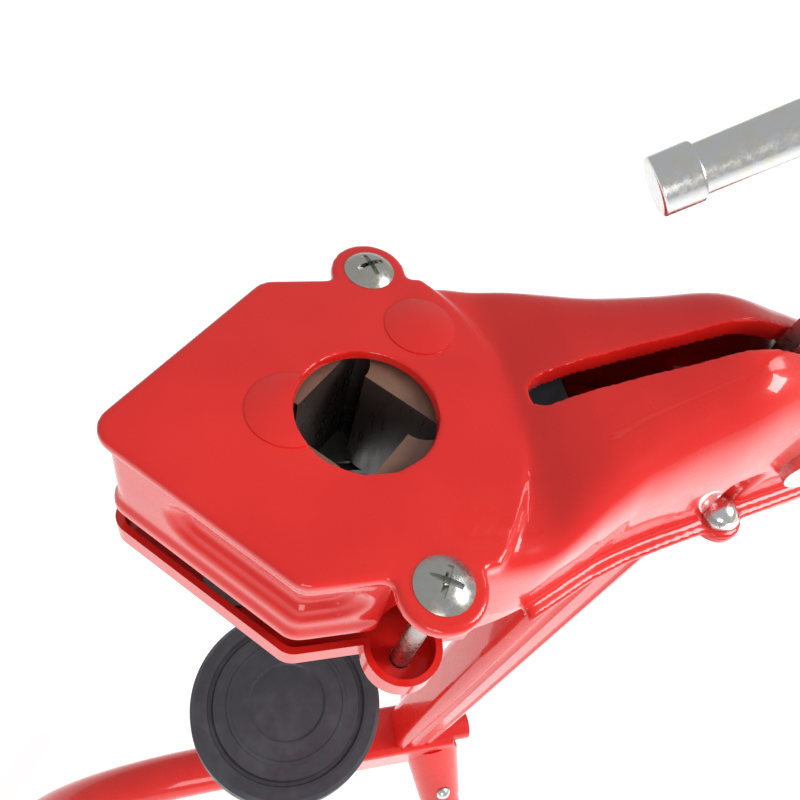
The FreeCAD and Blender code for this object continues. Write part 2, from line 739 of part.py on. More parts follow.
CRANK_Z = size("pivot_z") - size("crank_radius") * math.cos(half_swing)
DEEP_Z = size("pivot_z") - size("crank_radius")
cheeks = []
for s in (-1, 1):
    cheek = Part.makeBox(3, 17, CRANK_Z + 3.2 - YOKE_LOW, V(4.2 if s > 0 else -7.2, CRANK_Y - 8.5, YOKE_LOW))
    slot = Part.makeBox(20, 2 * size("crank_pin_radius") + 0.5, 30,
                        V(-10, CRANK_Y - size("crank_pin_radius") - 0.25, DEEP_Z - 3.4))
    cheeks.append(cheek.cut(slot))
yoke = plate.fuse([lip, tail] + cheeks).cut(window)
shaped("jaw_pull_yoke", yoke.removeSplitter())

# ================================================================ the lever
REST = math.radians(size("lever_rest"))


def in_lever(solid):
    """From the lever's own frame (x across, y along the arm, z to the rear) to the drawing's."""
    solid.rotate(V(0, 0, 0), X_AXIS, size("lever_rest"))
    solid.translate(V(0, size("pivot_y"), size("pivot_z")))
    return solid


# in the lever's frame before it is turned: y runs out along the arm, z points to the front
def blade():
    half, thick = size("blade_half"), size("blade_thick")
    web, low, high = size("web_depth"), size("web_low"), size("web_high")
    outline = [(0, -half), (size("blade_end"), -half), (size("blade_end"), half),
               (high + 34, half), (high, web), (low, web), (0, size("hub_radius") - 1)]
    wire = Part.makePolygon([V(-thick / 2, y, z) for y, z in outline + outline[:1]])
    plate = Part.Face(wire).extrude(V(thick, 0, 0))
    plate = plate.fuse(Part.makeCylinder(size("hub_radius"), thick, V(-thick / 2, 0, 0), X_AXIS))
    corners = [e for e in plate.Edges if e.BoundBox.XLength > thick - 0.01
               and abs(e.BoundBox.Center.z - web) < 0.01]
    plate = plate.makeFillet(9, corners)
    turn = math.radians(-90 - size("lever_throw") / 2 - size("lever_rest"))
    cy, cz = size("crank_radius") * math.cos(turn), size("crank_radius") * math.sin(turn)
    plate = plate.fuse(Part.makeCylinder(7, thick, V(-thick / 2, cy, cz), X_AXIS))
    plate = plate.cut(Part.makeCylinder(size("crank_pin_radius"), 20, V(-10, cy, cz), X_AXIS))
    plate = plate.cut(Part.makeCylinder(size("pivot_radius") + size("fit"), 20, V(-10, 0, 0), X_AXIS))
    plate = plate.cut(Part.makeCylinder(size("plunger_pin_radius"), 20,
                                        V(-10, size("plunger_arm"), 0), X_AXIS))
    for along in LEVER_BOLTS:
        plate = plate.cut(Part.makeCylinder(3.05, 20, V(-10, along, 0), X_AXIS))
    pin = Part.makeCylinder(size("crank_pin_radius"), 16, V(-8, cy, cz), X_AXIS)
    return plate, pin


LEVER_BOLTS = (size("tube_start") + 18, size("blade_end") - 15)
blade_shape, pin_shape = blade()
shaped("lever_blade", in_lever(blade_shape.removeSplitter()))
shaped("crank_pin", in_lever(pin_shape))


def ring_along(outer, inner, start, end):
    """A tube along the lever's arm."""
    tube = Part.makeCylinder(outer, end - start, V(0, start, 0), Y_AXIS)
    return tube.cut(Part.makeCylinder(inner, end - start, V(0, start, 0), Y_AXIS)) if inner else tube


tube_r = size("lever_tube_radius")
tube = ring_along(tube_r, tube_r - size("tube_wall"), size("tube_start"), size("tube_end"))
slit = size("blade_thick") / 2 + 0.1
tube = tube.cut(Part.makeBox(2 * slit, size("blade_end") + 2 - size("tube_start"), 40,
                             V(-slit, size("tube_start"), -20)))
for along in LEVER_BOLTS:
    tube = tube.cut(Part.makeCylinder(3.05, 40, V(-20, along, 0), X_AXIS))
shaped("lever_tube", in_lever(tube))

grip_end = size("tube_end") + size("grip_wall")
grip = ring_along(tube_r + size("grip_wall"), 0, grip_end - size("grip_length"), grip_end)
ends = [e for e in grip.Edges if abs(e.BoundBox.YLength) < 1e-6]
grip = grip.makeFillet(2.4, ends)
grip = grip.cut(ring_along(tube_r, 0, grip_end - size("grip_length") - 1, size("tube_end")))
shaped("lever_grip", in_lever(grip))

bolts, nuts = [], []
for along in LEVER_BOLTS:
    shank = Part.makeCylinder(3, 32, V(-18, along, 0), X_AXIS)
    head = Part.makeCylinder(5.2, 3.6, V(tube_r + 0.1, along, 0), X_AXIS)
    bolts.append(shank.fuse(head))
    nut = Part.makeCylinder(5.4, 4.6, V(-tube_r - 4.7, along, 0), X_AXIS)
    nuts.append(nut.cut(Part.makeCylinder(3.0, 40, V(-20, along, 0), X_AXIS)))
shaped("lever_bolts", in_lever(Part.makeCompound(bolts)))
shaped("lever_nuts", in_lever(Part.makeCompound(nuts)))

# pivot bolt across the neck, its nut and two spacers that keep the blade central
SIDE = SEAT
bolt = Part.makeCylinder(size("pivot_radius"), 2 * SIDE + 9, V(-SIDE - 9, 0, 0), X_AXIS)
bolt = bolt.fuse(Part.makeCylinder(8.6, 5, V(SIDE, 0, 0), X_AXIS))
nut = Part.makeCylinder(8.4, 7, V(-SIDE - 7, 0, 0), X_AXIS).cut(
    Part.makeCylinder(size("pivot_radius"), 60, V(-40, 0, 0), X_AXIS))
spacers = []
for s in (-1, 1):
    inner_wall = SIDE - SHEET - 1.2
    start = size("blade_thick") / 2 + 0.25
    ring = Part.makeCylinder(7.2, inner_wall - start, V(start if s > 0 else -inner_wall, 0, 0), X_AXIS)
    spacers.append(ring.cut(Part.makeCylinder(size("pivot_radius"), 60, V(-30, 0, 0), X_AXIS)))
for name, solid in (("lever_pivot_bolt", bolt), ("lever_pivot_nut", nut),
                    ("lever_spacers", Part.makeCompound(spacers))):
    solid.translate(V(0, size("pivot_y"), size("pivot_z")))
    shaped(name, solid)

# ---------------------------------------------------------------- the plunger
PIN = V(0, size("pivot_y") + size("plunger_arm") * math.cos(REST),
        size("pivot_z") + size("plunger_arm") * math.sin(REST))


def in_plunger(solid):
    """From the plunger's frame (y runs from the pin towards the tip) to the drawing's."""
    solid.rotate(V(0, 0, 0), X_AXIS, size("plunger_rest"))
    solid.translate(PIN)
    return solid


ear_in = size("blade_thick") / 2 + 0.4
ear_out = ear_in + 4
clevis = ring_along(ear_out + 0.6, 0, 25, 38)
for s in (-1, 1):
    ear = Part.makeBox(4, 30, 14, V(ear_in if s > 0 else -ear_out, 0, -7))
    ear = ear.fuse(Part.makeCylinder(7, 4, V(ear_in if s > 0 else -ear_out, 0, 0), X_AXIS))
    clevis = clevis.fuse(ear)
clevis = clevis.cut(Part.makeCylinder(size("plunger_pin_radius") + size("fit"), 40, V(-20, 0, 0), X_AXIS))
clevis = clevis.cut(ring_along(size("plunger_radius"), 0, 29, 40))
shaped("plunger_clevis", in_plunger(clevis.removeSplitter()))

tip_r, tip_len, reach = size("plunger_tip_radius"), size("plunger_tip_length"), size("plunger_length")
rod = ring_along(size("plunger_radius"), 0, 29, reach - tip_len + 1)
bead = ring_along(tip_r, 0, reach - tip_len, reach)
bead = bead.makeFillet(0.8, [e for e in bead.Edges if abs(e.BoundBox.YLength) < 1e-6])
shaped("plunger_rod", in_plunger(rod.fuse(bead).removeSplitter()))

hexed = Part.makeCylinder(9.2, 6, V(0, 38.05, 0), Y_AXIS)
for k in range(6):
    flat = Part.makeBox(40, 20, 10, V(-20, 32, 8))
    flat.rotate(V(0, 0, 0), Y_AXIS, 60 * k)
    hexed = hexed.cut(flat)
hexed = hexed.cut(ring_along(size("plunger_radius"), 0, 30, 50))
shaped("plunger_lock_nut", in_plunger(hexed))

pin = Part.makeCylinder(size("plunger_pin_radius"), 2 * ear_out + 4.5, V(-ear_out - 3.5, 0, 0), X_AXIS)
pin = pin.fuse(Part.makeCylinder(6, 2, V(ear_out + 0.3, 0, 0), X_AXIS))
clip = Part.makeCylinder(5.6, 1.2, V(-ear_out - 1.5, 0, 0), X_AXIS)
clip = clip.cut(Part.makeCylinder(size("plunger_pin_radius"), 40, V(-20, 0, 0), X_AXIS))
for name, solid in (("plunger_pin", pin), ("plunger_pin_clip", clip)):
    solid.translate(PIN)
    shaped(name, solid)

# ================================================================ column and legs
LEG_Z = -size("leg_drop")
TOP_Z = -size("head_depth") - size("head_plate")
FOOT = V(0, size("column_foot_y"), LEG_Z)
TOP = V(0, size("column_top_y"), TOP_Z)


def box_tube(width, depth, radius):
    """A rounded-square bar from the main tube up to the head plate, leaning with the column."""
    w, d = width / 2, depth / 2
    wire = rounded([(-w, -d), (w, -d), (w, d), (-w, d)], [radius] * 4)
    wire.translate(V(FOOT.x, FOOT.y, FOOT.z))
    bar = Part.Face(wire).extrude(TOP - FOOT)
    return bar


def saddle_block(extra):
    """The outside of the folded saddle, grown by extra."""
    half = size("leg_radius") + 0.02 + size("saddle_wall") + extra
    low = LEG_Z - half
    front, back = size("saddle_front") - extra, size("swage_y") + extra
    block = Part.makeBox(2 * half, back - front, LEG_Z + size("saddle_top") + extra - low, V(-half, front, low))
    level = [e for e in block.Edges if e.BoundBox.YLength > 50]
    return block.makeFillet(5, level)


def column():
    wide, deep, r = size("column_width"), size("column_depth"), size("column_round")
    solid = box_tube(wide, deep, r)
    # a flute and a narrow crease rolled down each side
    for s in (-1, 1):
        for off, radius, depth in ((-7.5, 4.5, 2.0), (5.5, 2.2, 1.2)):
            start = FOOT + V(s * (wide / 2 + radius - depth), off, -20)
            solid = solid.cut(Part.makeCylinder(radius, (TOP - FOOT).Length + 40, start, TOP - FOOT))
    solid = solid.cut(box_tube(wide - 14, deep - 6, r - 4))
    return solid.cut(saddle_block(0.02)).cut(Part.makeBox(200, 200, 60, V(-100, 0, LEG_Z - 60)))


column_shape = column()
solids = sorted(column_shape.Solids, key=lambda s: -s.Volume)
shaped("column", solids[0])

node("column_head_plate", box("40", "30", "head_plate", "-20", "column_top_y - 13",
                              "-(head_depth + head_plate)"))


def bent_leg(radius, trim_front):
    """The main tube: level from its open rear end, then bent down to the front foot."""
    bend, angle = size("front_bend_radius"), math.radians(size("front_leg_angle"))
    start = V(0, size("swage_y") + (0 if trim_front is None else 0.01), LEG_Z)
    a = V(0, -size("front_bend_y"), LEG_Z)
    centre = a + V(0, 0, -bend)
    b = centre + V(0, -bend * math.sin(angle), bend * math.cos(angle))
    mid = centre + V(0, -bend * math.sin(angle / 2), bend * math.cos(angle / 2))
    run = V(0, -math.cos(angle), -math.sin(angle))
    end = b + run * (size("front_straight") + (0 if trim_front is None else 1))
    path = Part.Wire([Part.LineSegment(start, a).toShape(), Part.Arc(a, mid, b).toShape(),
                      Part.LineSegment(b, end).toShape()])
    circle = Part.Wire([Part.makeCircle(radius, start, Y_AXIS)])
    return path.makePipeShell([circle], True, False)


def swage(inset, end):
    """The tube's rear end: a short cone and the open stub."""
    start, big, small = size("swage_y"), size("leg_radius") - inset, size("stub_radius") - inset
    taper = Part.makeCone(big, small, 5, V(0, start, LEG_Z), Y_AXIS)
    return taper.fuse(Part.makeCylinder(small, end - start - 5, V(0, start + 5, LEG_Z), Y_AXIS))


leg = bent_leg(size("leg_radius"), None).fuse(swage(0, size("stub_y")))
leg = leg.cut(bent_leg(size("leg_radius") - size("leg_wall"), 1)).cut(swage(size("leg_wall"), size("stub_y") + 1))
leg = leg.cut(upright(size("guide_radius") + 0.02, 0, size("platform_y"), LEG_Z - 40, LEG_Z + 40))
leg = leg.common(Part.makeBox(200, 900, 500, V(-100, -700, -size("head_z") + 3)))
leg_solids = sorted(leg.Solids, key=lambda s: -s.Volume)
shaped("main_leg_tube", leg_solids[0])

# a folded saddle closes round the main tube and carries the column
half = size("leg_radius") + 0.02
hollow = Part.makeBox(2 * half, 400, half + size("saddle_top") - size("saddle_wall"),
                      V(-half, -100, LEG_Z - half))
hollow = hollow.makeFillet(3, [e for e in hollow.Edges if e.BoundBox.YLength > 50])
saddle = saddle_block(0).cut(hollow).cut(Part.makeCylinder(half, 400, V(0, -100, LEG_Z), Y_AXIS))
shaped("leg_saddle", saddle)

SIDE_RUN = V(1, size("side_splay"), -size("side_slope")).normalize()
HUB = V(0, size("side_leg_y"), LEG_Z)


def side_bar(radius, side, start, end):
    run = V(side * SIDE_RUN.x, SIDE_RUN.y, SIDE_RUN.z)
    return Part.makeCylinder(radius, end - start, HUB + run * start, run)


MAIN_BAR = Part.makeCylinder(size("leg_radius") + 0.02, 200, V(0, 20, LEG_Z), Y_AXIS)
FLOOR_CUT = Part.makeBox(900, 900, 100, V(-450, -450, -size("head_z") - 100 + 3))
SOCKET_START, LEG_START = 2, 30
socket_end = size("socket_length")
for side, name in ((-1, "left"), (1, "right")):
    run = V(side * SIDE_RUN.x, SIDE_RUN.y, SIDE_RUN.z)
    sleeve = Part.makeCone(size("socket_outer"), size("socket_inner") + 1.2, socket_end - SOCKET_START,
                           HUB + run * SOCKET_START, run)
    sleeve = sleeve.cut(side_bar(size("socket_inner"), side, SOCKET_START - 1, socket_end + 1))
    sleeve = sleeve.cut(MAIN_BAR).cut(saddle_block(0.02))
    keep = Part.makeBox(200, 400, 400, V(0.3 if side > 0 else -200.3, 0, LEG_Z - 200))
    sleeve = sleeve.common(keep)
    leg = side_bar(size("side_leg_radius"), side, LEG_START, size("side_leg_length") + 10)
    leg = leg.cut(side_bar(size("side_leg_radius") - size("leg_wall"), side, LEG_START - 1,
                           size("side_leg_length") + 20)).cut(FLOOR_CUT)
    leg = leg.cut(MAIN_BAR).cut(saddle_block(0.05))
    across = run.cross(Y_AXIS).normalize()
    if across.z < 0:
        across = across * -1
    along = size("leg_screw_at")
    at = HUB + run * along
    drill = Part.makeCylinder(2.55, 40, at, across)
    share = (along - SOCKET_START) / (socket_end - SOCKET_START)
    seat = size("socket_outer") - share * (size("socket_outer") - size("socket_inner") - 1.2) - 0.5
    sleeve = sleeve.cut(drill).cut(Part.makeCylinder(5.6, 12, at + across * seat, across))
    leg = leg.cut(drill)
    screw = Part.makeCylinder(2.5, 12, at + across * (seat - 11.5), across)
    dome = Part.makeSphere(6.2, at + across * (seat - 2.2))
    dome = dome.common(Part.makeCylinder(5.2, 8, at + across * seat, across))
    solids = sorted(sleeve.Solids, key=lambda s: -s.Volume)
    shaped("leg_socket_" + name, solids[0])
    shaped("side_leg_" + name, sorted(leg.Solids, key=lambda s: -s.Volume)[0])
    shaped("leg_screw_" + name, screw.fuse(dome).removeSplitter())

# rubber feet: a cap on each tube end, cut flat at the floor
GROUND = Part.makeBox(1200, 1200, 100, V(-600, -600, -size("head_z") - 100))


def foot(end, run, radius):
    """A cap over the last stretch of a tube, flat underneath."""
    back = end - run * size("foot_length")
    cap = Part.makeCylinder(radius + size("foot_wall"), size("foot_length") + 30, back, run)
    cap = cap.cut(GROUND)
    bore = Part.makeCylinder(radius + 0.02, size("foot_length") + 31, back - run, run)
    bore = bore.cut(Part.makeBox(1200, 1200, 100, V(-600, -600, -size("head_z") - 100 + 3)))
    return cap.cut(bore)


angle = math.radians(size("front_leg_angle"))
front_run = V(0, -math.cos(angle), -math.sin(angle))
front_end = V(0, size("front_foot_y"), -size("head_z") + 3)
shaped("foot_front", foot(front_end, front_run, size("leg_radius")))
for side, name in ((-1, "left"), (1, "right")):
    run = V(side * SIDE_RUN.x, SIDE_RUN.y, SIDE_RUN.z)
    end = HUB + run * size("side_leg_length")
    shaped("foot_" + name, foot(end, run, size("side_leg_radius")))

# ================================================================ bottle platform
top, height, rim_r = -size("platform_drop"), size("platform_height"), size("platform_radius")
# half section of the moulded disc: rim bead, groove, ring and centre recess
section = [(0, top - 2.2), (20.5, top - 2.2), (21.8, top - 1.0), (31.2, top - 1.0), (31.6, top - 0.5),
           (33.4, top - 0.5), (33.8, top - 1.0), (40.6, top - 1.0), (41.4, top - 2.4), (43.2, top - 2.4),
           (44.0, top - 0.4), (46.0, top), (rim_r - 2.2, top), (rim_r, top - 2.2),
           (rim_r, top - height + 1), (rim_r - 1, top - height), (rim_r - 3, top - height),
           (rim_r - 3, top - 5.5), (28, top - 5.5), (28, top - height + 3.2), (0, top - height + 3.2)]
wire = Part.makePolygon([V(r, 0, z) for r, z in section + section[:1]])
disc = Part.Face(wire).revolve(V(0, 0, 0), Z_AXIS, 360)
SCREW_SPOTS = [(18 * math.cos(math.radians(a)), 18 * math.sin(math.radians(a))) for a in (90, 210, 330)]
for x, y in SCREW_SPOTS:
    disc = disc.cut(upright(1.9, x, y, top - height, top - 4.6))
disc.translate(V(0, size("platform_y"), 0))
shaped("platform_disc", disc)

under = "-(platform_drop + platform_height - 3.2)"
flange = cut(cylinder("25", "3.2", "0", "platform_y", under + " - 3.2"),
             *[cylinder("2", "3.2", "%.4f" % x, "platform_y + %.4f" % y, under + " - 3.2")
               for x, y in SCREW_SPOTS])
node("platform_flange", flange)
screws = []
for x, y in SCREW_SPOTS:
    at_y = "platform_y + %.4f" % y
    head = cylinder("3.8", "2.4", "%.4f" % x, at_y, under + " - 5.6")
    screws.append(fuse(head, cylinder("1.85", "6.6", "%.4f" % x, at_y, under + " - 3.3")))
trio = doc.addObject("Part::Compound", "trio")
trio.Links = screws
node("platform_screws", trio)

rod_top = under + " - 3.2"
node("platform_rod", cylinder("rod_radius", "-(platform_drop + platform_height) - collar_top + collar_height",
                              "0", "platform_y", "collar_top - collar_height"))
node("rod_collar", cut(cylinder("guide_inner - 0.15", "collar_height", "0", "platform_y",
                                "collar_top - collar_height"),
                       cylinder("rod_radius", "collar_height", "0", "platform_y",
                                "collar_top - collar_height")))
node("platform_guide_tube", cut(cylinder("guide_radius", "guide_length", "0", "platform_y", "guide_bottom"),
                                cylinder("guide_inner", "guide_length", "0", "platform_y", "guide_bottom")))
bush = fuse(cylinder("guide_inner - 0.02", "bush_length", "0", "platform_y", "guide_top - bush_length"),
            cylinder("guide_radius + 1.5", "2.5", "0", "platform_y", "guide_top"))
node("guide_bush", cut(bush, cylinder("rod_radius + fit", "bush_length + 2.5", "0", "platform_y",
                                      "guide_top - bush_length")))
node("guide_tube_plug", fuse(cylinder("guide_inner - 0.02", "plug_height", "0", "platform_y", "guide_bottom"),
                             cylinder("guide_radius + 1", "3", "0", "platform_y", "guide_bottom - 3")))

wire_r = size("spring_wire")
coil_r = size("guide_inner") - 0.5 - wire_r
low, high = size("spring_bottom") + wire_r + 0.2, size("spring_top") - wire_r - 0.2
helix = Part.makeHelix((high - low) / size("spring_turns"), high - low, coil_r)
profile = Part.Wire([Part.makeCircle(wire_r, V(coil_r, 0, 0), Y_AXIS)])
spring = Part.Wire(helix.Edges).makePipeShell([profile], True, True)
spring.translate(V(0, size("platform_y"), low))
shaped("platform_spring", spring)

# ================================================================ check, then write
doc.recompute()
for obj in doc.Objects:
    if "Invalid" in obj.State or "Error" in obj.State:
        raise RuntimeError("%s (%s) failed: %s" % (obj.Name, obj.Label, obj.State))
faults = []
for label, obj in made.items():
    shape = obj.Shape
    if shape.isNull() or not shape.isValid() or not shape.Solids:
        faults.append(label)
if faults:
    raise RuntimeError("no valid solid: " + ", ".join(faults))
for label, obj in made.items():
    obj.Shape.exportStep("parts/%s.step" % label)
print("wrote %d parts, hole axis at y = %.2f" % (len(made), size("bore_y")))
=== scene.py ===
"""Floor-standing lever bottle corker: finishes, formed sheet pieces, light and camera.

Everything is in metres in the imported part's own frame: +Z up, the nose towards -Y.
"""

import json
import logging
import math
from dataclasses import dataclass, field

import bmesh
import bpy
from mathutils import Matrix, Vector

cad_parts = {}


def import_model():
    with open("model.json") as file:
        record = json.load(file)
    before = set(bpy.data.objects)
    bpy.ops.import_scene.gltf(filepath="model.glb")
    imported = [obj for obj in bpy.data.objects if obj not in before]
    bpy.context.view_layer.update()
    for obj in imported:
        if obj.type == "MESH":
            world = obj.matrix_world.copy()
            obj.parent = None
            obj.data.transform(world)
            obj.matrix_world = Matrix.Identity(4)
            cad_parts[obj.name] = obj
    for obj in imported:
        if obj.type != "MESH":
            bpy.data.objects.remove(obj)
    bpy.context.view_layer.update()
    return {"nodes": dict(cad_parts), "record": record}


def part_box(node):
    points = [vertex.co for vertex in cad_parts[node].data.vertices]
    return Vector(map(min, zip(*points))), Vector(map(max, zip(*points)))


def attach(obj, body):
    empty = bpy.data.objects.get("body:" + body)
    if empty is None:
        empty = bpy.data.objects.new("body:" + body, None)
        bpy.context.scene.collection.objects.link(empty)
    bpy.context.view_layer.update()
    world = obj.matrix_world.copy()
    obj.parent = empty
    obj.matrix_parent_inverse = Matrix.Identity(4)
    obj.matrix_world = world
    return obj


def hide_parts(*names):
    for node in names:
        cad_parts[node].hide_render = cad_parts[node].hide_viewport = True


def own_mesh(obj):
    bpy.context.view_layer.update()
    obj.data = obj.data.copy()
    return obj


log = logging.getLogger("corker")
MM = 0.001


# ------------------------------------------------------------------ frame of reference
@dataclass(frozen=True)
class Datum:
    """The centre of the cork hole on the head's top face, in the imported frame."""

    origin: Vector

    @classmethod
    def read(cls) -> "Datum":
        """Find the datum from the clamp screws and the lower shell.

        Returns:
            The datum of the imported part.
        """
        low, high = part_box("head_clamp_screws")
        base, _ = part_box("head_lower_shell")
        return cls(Vector((0.0, (low.y + high.y) / 2 - 9.4 * MM, base.z + 56 * MM)))

    def at(self, x: float, y: float, z: float) -> Vector:
        """Turn millimetres from the cork hole into metres in the frame."""
        return self.origin + Vector((x, y, z)) * MM


# ------------------------------------------------------------------ node building
class Nodes:
    """A small builder for one material's node tree."""

    def __init__(self, name: str) -> None:
        """Start a material with a Principled shader.

        Args:
            name: the material's name.
        """
        self.material = bpy.data.materials.new(name)
        self.material.use_nodes = True
        self.tree = self.material.node_tree
        self.shader = self.tree.nodes["Principled BSDF"]
        self.coords = self.tree.nodes.new("ShaderNodeTexCoord").outputs["Object"]

    def set(self, **values: object) -> None:
        """Set the shader's plain sockets, with underscores for the blanks in their names."""
        for key, value in values.items():
            self.shader.inputs[key.replace("_", " ")].default_value = value

    def link(self, source: bpy.types.NodeSocket, target: str) -> None:
        """Join a socket to one of the shader's inputs."""
        self.tree.links.new(source, self.shader.inputs[target])

    def node(self, kind: str, inputs: dict[str, object], **props: object) -> bpy.types.Node:
        """Add a node.

        Args:
            kind: the node's type.
            inputs: input name to a value or to another node's socket.
            props: the node's own settings.

        Returns:
            The new node.
        """
        made = self.tree.nodes.new(kind)
        for key, value in props.items():
            setattr(made, key, value)
        for key, value in inputs.items():
            socket = made.inputs[key]
            if isinstance(value, bpy.types.NodeSocket):
                self.tree.links.new(value, socket)
            else:
                socket.default_value = value
        return made

    def noise(self, scale: float, detail: float = 3.0, rough: float = 0.55,
              stretch: tuple[float, float, float] = (1, 1, 1)) -> bpy.types.NodeSocket:
        """Noise on the piece's own coordinates.

        Args:
            scale: cells per metre.
            detail: octaves.
            rough: how strong the fine octaves are.
            stretch: scale along each axis, for brushed or drawn surfaces.

        Returns:
            The noise's factor.
        """
        mapped = self.node("ShaderNodeMapping", {"Vector": self.coords, "Scale": stretch})
        return self.node("ShaderNodeTexNoise", {"Vector": mapped.outputs[0], "Scale": scale,
                                                "Detail": detail, "Roughness": rough}).outputs["Fac"]

    def ramp(self, source: bpy.types.NodeSocket, low: float, high: float,
             to_low: float, to_high: float) -> bpy.types.NodeSocket:
        """Map a range of one value smoothly onto another range."""
        made = self.node("ShaderNodeMapRange", {"Value": source, "From Min": low, "From Max": high,
                                                "To Min": to_low, "To Max": to_high},
                         interpolation_type="SMOOTHSTEP")
        return made.outputs["Result"]

    def mix(self, factor: object, a: object, b: object) -> bpy.types.NodeSocket:
        """Mix two colours."""
        made = self.tree.nodes.new("ShaderNodeMix")
        made.data_type = "RGBA"
        for socket, value in ((made.inputs[0], factor), (made.inputs[6], a), (made.inputs[7], b)):
            if isinstance(value, bpy.types.NodeSocket):
                self.tree.links.new(value, socket)
            else:
                socket.default_value = value if not isinstance(value, tuple) else (*value[:3], 1.0)
        return made.outputs[2]

    def bump(self, height: bpy.types.NodeSocket, depth: float, strength: float = 1.0,
             under: bpy.types.NodeSocket | None = None) -> bpy.types.NodeSocket:
        """A bump of a real depth in metres, on top of another if one is given."""
        inputs: dict[str, object] = {"Height": height, "Distance": depth, "Strength": strength}
        if under is not None:
            inputs["Normal"] = under
        return self.node("ShaderNodeBump", inputs).outputs["Normal"]


# ------------------------------------------------------------------ finishes
@dataclass(frozen=True)
class Enamel:
    """Glossy stoving enamel over pressed steel: a clear coat, faint orange peel and dust."""

    name: str = "red_enamel"
    colour: tuple[float, float, float] = (0.84, 0.020, 0.014)
    deep: tuple[float, float, float] = (0.76, 0.014, 0.011)
    peel: float = 0.00001

    def material(self) -> bpy.types.Material:
        """Build the enamel."""
        n = Nodes(self.name)
        broad = n.noise(22, 3)
        n.link(n.mix(n.ramp(broad, 0.35, 0.7, 0, 1), self.colour, self.deep), "Base Color")
        n.link(n.ramp(n.noise(160, 4), 0.3, 0.75, 0.26, 0.34), "Roughness")
        n.set(Coat_Weight=0.75, Coat_Roughness=0.04, Specular_IOR_Level=0.2)
        n.link(n.bump(n.noise(420, 2), self.peel), "Normal")
        return n.material


@dataclass(frozen=True)
class Zinc:
    """Bright zinc plate with faint yellow and blue tints and fine handling marks."""

    name: str = "bright_zinc"
    colour: tuple[float, float, float] = (0.72, 0.73, 0.74)
    tint: tuple[float, float, float] = (0.74, 0.70, 0.58)
    rough: tuple[float, float] = (0.16, 0.34)
    drawn: tuple[float, float, float] = (1, 1, 1)

    def material(self) -> bpy.types.Material:
        """Build the plate."""
        n = Nodes(self.name)
        cloud = n.noise(240, 4)
        n.link(n.mix(n.ramp(cloud, 0.42, 0.72, 0, 0.8), self.colour, self.tint), "Base Color")
        n.set(Metallic=1.0)
        n.link(n.ramp(n.noise(700, 5, 0.65, self.drawn), 0.3, 0.75, *self.rough), "Roughness")
        n.link(n.bump(n.noise(900, 4, 0.6, self.drawn), 0.00002), "Normal")
        return n.material


@dataclass(frozen=True)
class JawNylon:
    """Brown nylon with random streaks on its tops; every face that doesn't face up is painted dark brown
    as painted shade.
    """

    name: str = "brown_nylon"
    top: tuple[float, float, float] = (0.235, 0.125, 0.085)
    streak: tuple[float, float, float] = (0.165, 0.085, 0.06)
    # painted shade: the dark brown given to every face that doesn't face up, the walls of the cork hole
    # included
    bore_shade: tuple[float, float, float] = (0.052, 0.036, 0.031)

    def material(self) -> bpy.types.Material:
        """Build the nylon."""
        n = Nodes(self.name)
        normal = n.tree.nodes.new("ShaderNodeTexCoord").outputs["Normal"]
        parts = n.node("ShaderNodeSeparateXYZ", {"Vector": normal})
        # painted shade by face direction: up-facing tops keep the streaked nylon brown, steeper faces fade
        # to the dark painted shade
        flat = n.ramp(parts.outputs["Z"], 0.3, 0.8, 0, 1)
        cloud = n.ramp(n.noise(60, 4), 0.35, 0.7, 0, 1)
        worn = n.mix(cloud, self.top, self.streak)
        n.link(n.mix(flat, self.bore_shade, worn), "Base Color")
        n.link(n.ramp(n.noise(300, 4, 0.6, (1, 1, 0.2)), 0.3, 0.7, 0.22, 0.42), "Roughness")
        n.link(n.bump(n.noise(500, 3, 0.6, (1, 1, 0.15)), 0.00003), "Normal")
        return n.material


@dataclass(frozen=True)
class Moulding:
    """A moulded plastic or rubber with a fine grain."""

    name: str
    colour: tuple[float, float, float]
    worn: tuple[float, float, float]
    rough: tuple[float, float] = (0.35, 0.55)
    grain: float = 900
    depth: float = 0.00002

    def material(self) -> bpy.types.Material:
        """Build the moulding."""
        n = Nodes(self.name)
        cloud = n.noise(60, 4)
        n.link(n.mix(n.ramp(cloud, 0.4, 0.75, 0, 1), self.colour, self.worn), "Base Color")
        n.link(n.ramp(n.noise(300, 4), 0.3, 0.7, *self.rough), "Roughness")
        n.link(n.bump(n.noise(self.grain, 3), self.depth), "Normal")
        return n.material


class Finishes:
    """Every finish of the corker, made once."""

    def __init__(self) -> None:
        """Make the materials."""
        self.enamel = Enamel().material()
        self.zinc = Zinc().material()
        self.screw = Zinc("screw_zinc", (0.50, 0.51, 0.49), (0.50, 0.46, 0.36), (0.2, 0.4)).material()
        self.lever = Zinc("lever_plate", (0.60, 0.61, 0.62), (0.62, 0.59, 0.50), (0.25, 0.45)).material()
        self.nylon = JawNylon().material()
        self.plastic = Moulding("black_plastic", (0.040, 0.043, 0.054), (0.062, 0.065, 0.078)).material()
        self.rubber = Moulding("black_rubber", (0.02, 0.02, 0.02), (0.035, 0.033, 0.03),
                               (0.6, 0.8)).material()
        self.steel = Zinc("plain_steel", (0.40, 0.41, 0.42), (0.34, 0.33, 0.31), (0.35, 0.55)).material()


BY_SLOT = {
    "head_paint": "enamel", "leg_paint": "enamel", "zinc_hardware": "zinc", "zinc_lever": "lever",
    "plunger_steel": "zinc", "inner_steel": "steel", "brown_nylon": "nylon",
    "black_plastic": "plastic", "black_rubber": "rubber", "spring_steel": "steel",
}


def dress_nodes(frame: dict, finishes: Finishes) -> None:
    """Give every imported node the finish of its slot.

    Args:
        finishes: the corker's finishes.
    """
    for part in frame["record"]["subparts"]:
        node = frame["nodes"][part["node"]]
        node.data.materials.clear()
        node.data.materials.append(getattr(finishes, BY_SLOT[part["material_slot"]]))


